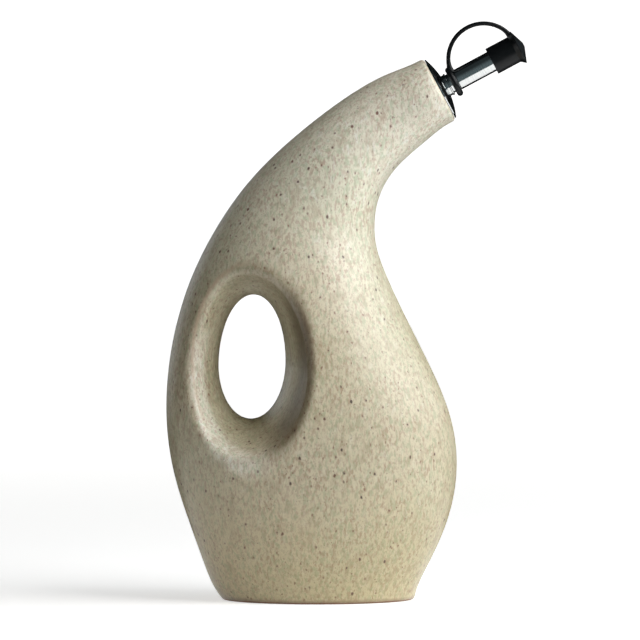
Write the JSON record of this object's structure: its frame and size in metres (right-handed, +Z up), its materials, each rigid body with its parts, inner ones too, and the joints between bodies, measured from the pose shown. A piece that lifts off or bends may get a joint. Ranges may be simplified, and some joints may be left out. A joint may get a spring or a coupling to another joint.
{
  "type": "oil dispenser bottle",
  "caption": "Leaning stoneware oil bottle with an oval finger hole through its body and a steel pourer closed by a tethered rubber cap.",
  "frame": {"origin": "centre of the foot, on the table", "axes": "+Z up, +X the way the neck and spout lean, +Y away from a viewer who sees the spout on the right"},
  "size_m": [0.1694, 0.0866, 0.2719],
  "materials": {
    "glaze": "satin speckled glaze, bare clay at the foot's rim",
    "stopper_rubber": "matte",
    "steel": "polished",
    "cap_rubber": "satin"
  },
  "bodies": {
    "bottle": {"bottle_body": "glaze"},
    "pourer": {"stopper": "stopper_rubber", "dome_plate": "steel", "spout_tube": "steel", "vent_tube": "steel"},
    "tether": {"cap_tether": "cap_rubber"},
    "cap": {"spout_cap": "cap_rubber"}
  },
  "joints": [
    {"name": "pourer_pull", "type": "slide", "parent": "bottle", "child": "pourer", "axis": [0.8817, 0, 0.4718], "range_m": [0, 0.045]},
    {"name": "tether_turn", "type": "hinge", "parent": "pourer", "child": "tether", "pos_m": [0.06362, 0, 0.24365], "axis": [0.8817, 0, 0.4718], "continuous": true},
    {"name": "cap_pull", "type": "slide", "parent": "tether", "child": "cap", "axis": [0.8817, 0, 0.4718], "range_m": [0, 0.014], "deforming": ["cap_tether"]}
  ]
}
